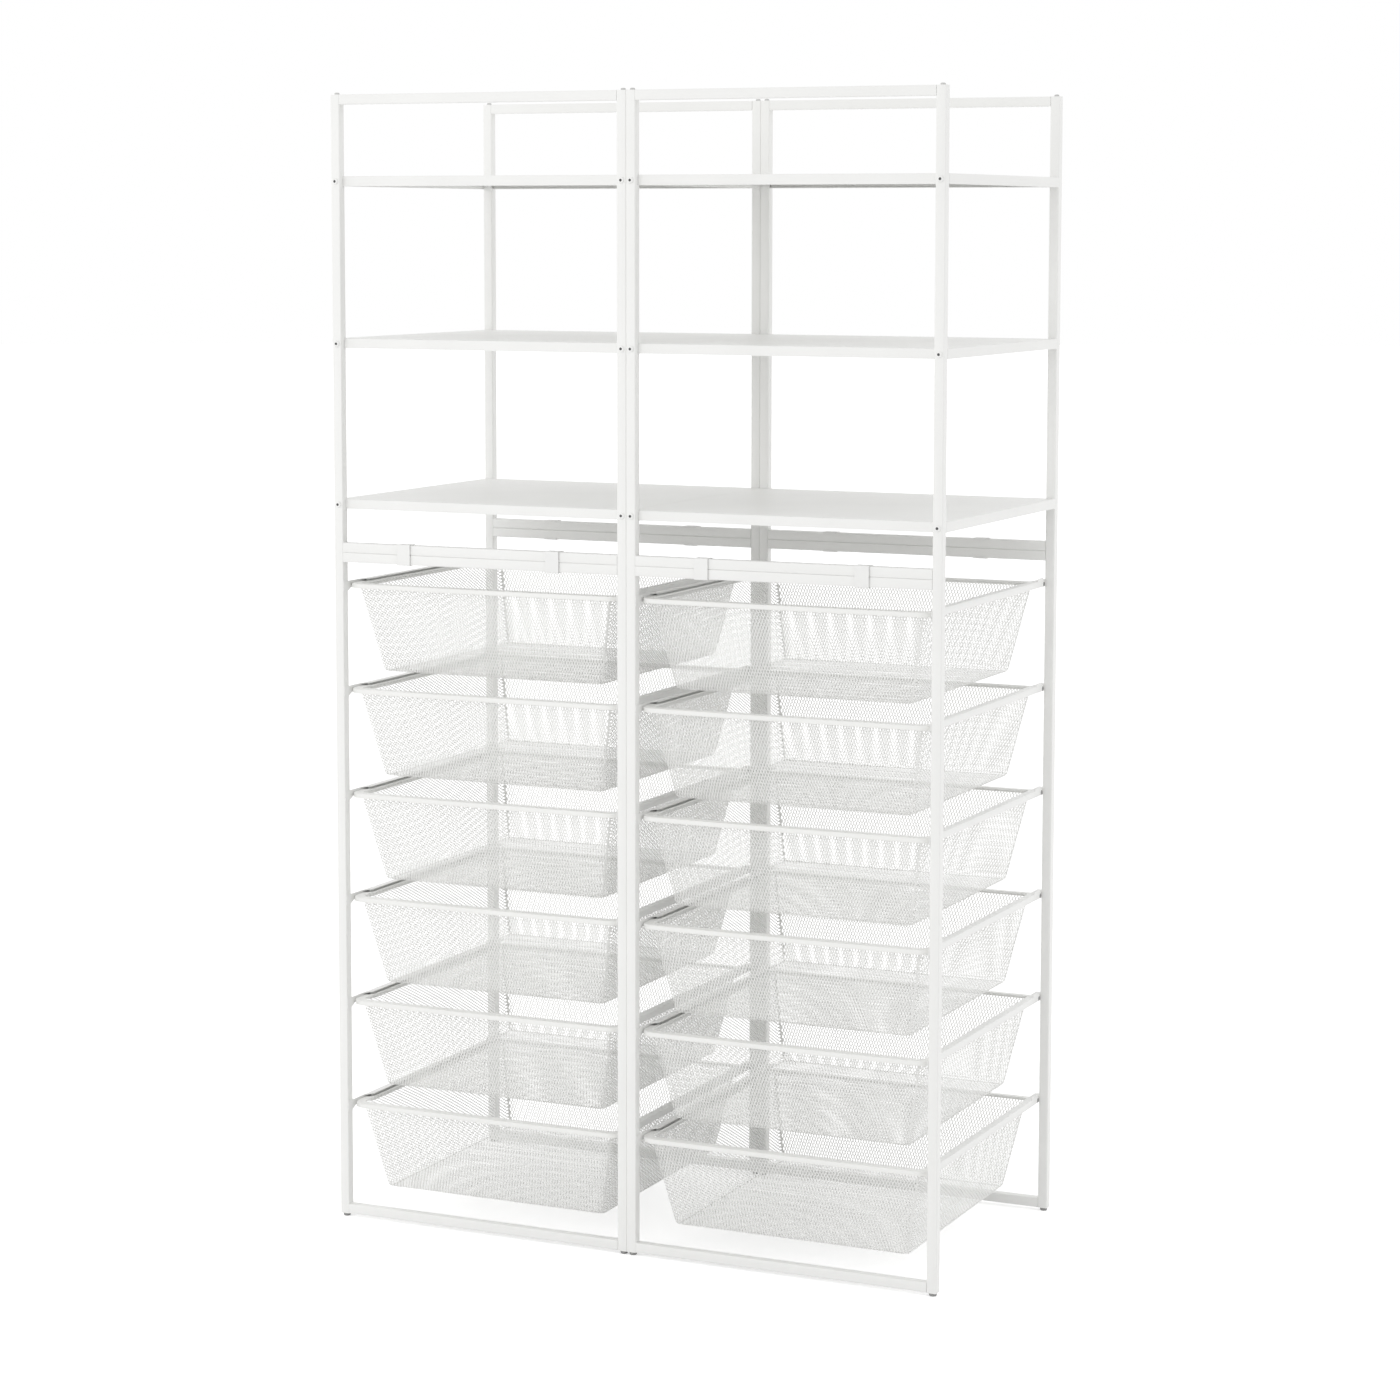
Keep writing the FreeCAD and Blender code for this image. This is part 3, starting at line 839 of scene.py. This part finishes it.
def pin_mesh(name):
    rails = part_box("basket_rails_left_1")
    side = (rails[1].x - rails[0].x) / 2
    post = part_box("upper_frame_back_left")[0].y
    rings = [
        (0.9 * pin_radius, -pin_root, 0),
        (pin_radius, pin_root_bevel - pin_root, 0),
        (pin_radius, -pin_edge, 0),
        (0.8 * pin_radius, pin_crown, 0),
    ]
    bm = bmesh.new()
    for basket in baskets:
        across, _, level = basket_place(basket)
        for hand in (-1, 1):
            turn = Matrix.Rotation(hand * math.pi / 2, 4, "Y")
            spot = (across + hand * side, post - pin_from_post, level + pin_level)
            turned(bm, rings, Matrix.Translation(spot) @ turn)
    return finish_piece(name, bm, pin_plastic)


place_piece("round_pins", pin_mesh("round_pins"), "frame", ["rail_pins"])


# Folded clips round the two meeting rails
def rounded_corners(points, radii, steps=4):
    outline = []
    count = len(points)
    for number, (point, radius) in enumerate(zip(points, radii)):
        here = Vector(point)
        before = (Vector(points[number - 1]) - here).normalized()
        after = (Vector(points[(number + 1) % count]) - here).normalized()
        for k in range(steps + 1):
            share = k / steps
            start = here + before * radius * (1 - share)
            outline.append(start.lerp(here + after * radius * share, share))
    return outline


def clip_mesh(name, end):
    low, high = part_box("frame_clips_" + end)
    front = end == "front"
    face = low.y if front else high.y
    reach = high.y - low.y
    inward = 1 if front else -1
    half = (high.z - low.z) / 2
    middle = (high.z + low.z) / 2
    lip = half - clip_sheet - clip_lip
    inner = half - clip_sheet
    quarter = (
        (0, half, clip_bend),
        (reach, half, clip_bend),
        (reach, lip, clip_edge),
        (reach - clip_sheet, lip, clip_edge),
        (reach - clip_sheet, inner, clip_edge),
        (clip_sheet, inner, clip_edge),
    )
    points = [(y, z) for y, z, radius in quarter] + [(y, -z) for y, z, radius in quarter[::-1]]
    radii = [radius for y, z, radius in quarter]
    outline = rounded_corners(points, radii + radii[::-1])
    bm = bmesh.new()
    for side in sides:
        for hand in (-1, 1):
            centre = column_middles[side] + hand * clip_from_middle
            rings = []
            for across in (-1, 1):
                x = centre + across * clip_half_width
                rings.append(ring(bm, [(x, face + inward * y, middle + z) for y, z in outline]))
            skin(bm, rings[0], rings[1])
            bm.faces.new(rings[0][::-1])
            bm.faces.new(rings[1])
    return finish_piece(name, bm, clip_paint)


for end in ("front", "back"):
    name = "folded_clips_" + end
    place_piece(name, clip_mesh(name, end), "frame", ["frame_clips_" + end])

# Solids kept from the CAD
for name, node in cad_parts.items():
    if name == "stacking_studs_lower":
        node.data.materials.clear()
        node.data.materials.append(stud_plastic)


# Floor, light and camera
def seen_by_eye(nodes, links):
    path = nodes.new("ShaderNodeLightPath")
    total = path.outputs["Is Camera Ray"]
    for output in ("Is Glossy Ray", "Is Transmission Ray"):
        most = nodes.new("ShaderNodeMath")
        most.operation = "MAXIMUM"
        links.new(total, most.inputs[0])
        links.new(path.outputs[output], most.inputs[1])
        total = most.outputs[0]
    return total


def spread(nodes, links, source, low, high):
    mapped = nodes.new("ShaderNodeMapRange")
    mapped.inputs["To Min"].default_value = low
    mapped.inputs["To Max"].default_value = high
    links.new(source, mapped.inputs["Value"])
    return mapped.outputs["Result"]


def make_floor():
    bm = bmesh.new()
    steps = 64
    loops = []
    for radius in floor_radii:
        angles = [2 * math.pi * k / steps for k in range(steps)]
        loops.append(ring(bm, [(radius * math.cos(a), radius * math.sin(a), 0) for a in angles]))
    bm.faces.new(loops[0])
    for first, second in zip(loops, loops[1:]):
        skin(bm, first, second)
    material = bpy.data.materials.new("floor")
    material.use_nodes = True
    nodes, links = material.node_tree.nodes, material.node_tree.links
    nodes.clear()
    matt = nodes.new("ShaderNodeBsdfDiffuse")
    matt.inputs["Color"].default_value = (floor_white, floor_white, floor_white, 1)
    glow = nodes.new("ShaderNodeEmission")
    strength = spread(nodes, links, seen_by_eye(nodes, links), 0, floor_glow)
    links.new(strength, glow.inputs["Strength"])
    both = nodes.new("ShaderNodeAddShader")
    links.new(matt.outputs[0], both.inputs[0])
    links.new(glow.outputs[0], both.inputs[1])
    output = nodes.new("ShaderNodeOutputMaterial")
    links.new(both.outputs[0], output.inputs["Surface"])
    mesh = finish_piece("floor", bm, material)
    floor = bpy.data.objects.new("floor", mesh)
    bpy.context.scene.collection.objects.link(floor)
    floor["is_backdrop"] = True


def make_world():
    world = bpy.data.worlds.new("studio")
    bpy.context.scene.world = world
    world.use_nodes = True
    nodes, links = world.node_tree.nodes, world.node_tree.links
    background = nodes["Background"]
    background.inputs["Color"].default_value = (1, 1, 1, 1)
    strength = spread(nodes, links, seen_by_eye(nodes, links), ambient, 1)
    links.new(strength, background.inputs["Strength"])


def area_light(name, place, target, size, energy):
    light = bpy.data.lights.new(name, "AREA")
    light.energy = energy
    light.shape = "DISK"
    light.size = size
    lamp = bpy.data.objects.new(name, light)
    bpy.context.scene.collection.objects.link(lamp)
    lamp.location = place
    lamp.rotation_euler = (Vector(target) - Vector(place)).to_track_quat("-Z", "Y").to_euler()


def make_camera():
    data = bpy.data.cameras.new("camera")
    data.lens = camera_lens
    data.sensor_width = camera_sensor
    data.shift_y = camera_shift
    data.clip_end = camera_reach
    camera = bpy.data.objects.new("camera", data)
    bpy.context.scene.collection.objects.link(camera)
    camera.location = camera_place
    camera.rotation_euler = [math.radians(angle) for angle in camera_turn]
    bpy.context.scene.camera = camera


make_floor()
make_world()
area_light("key", key_place, lamp_target, key_size, key_energy)
area_light("left", left_place, lamp_target, side_lamp_size, left_energy)
area_light("right", right_place, lamp_target, side_lamp_size, right_energy)
make_camera()
bpy.context.scene.view_settings.view_transform = "Standard"

low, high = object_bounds()
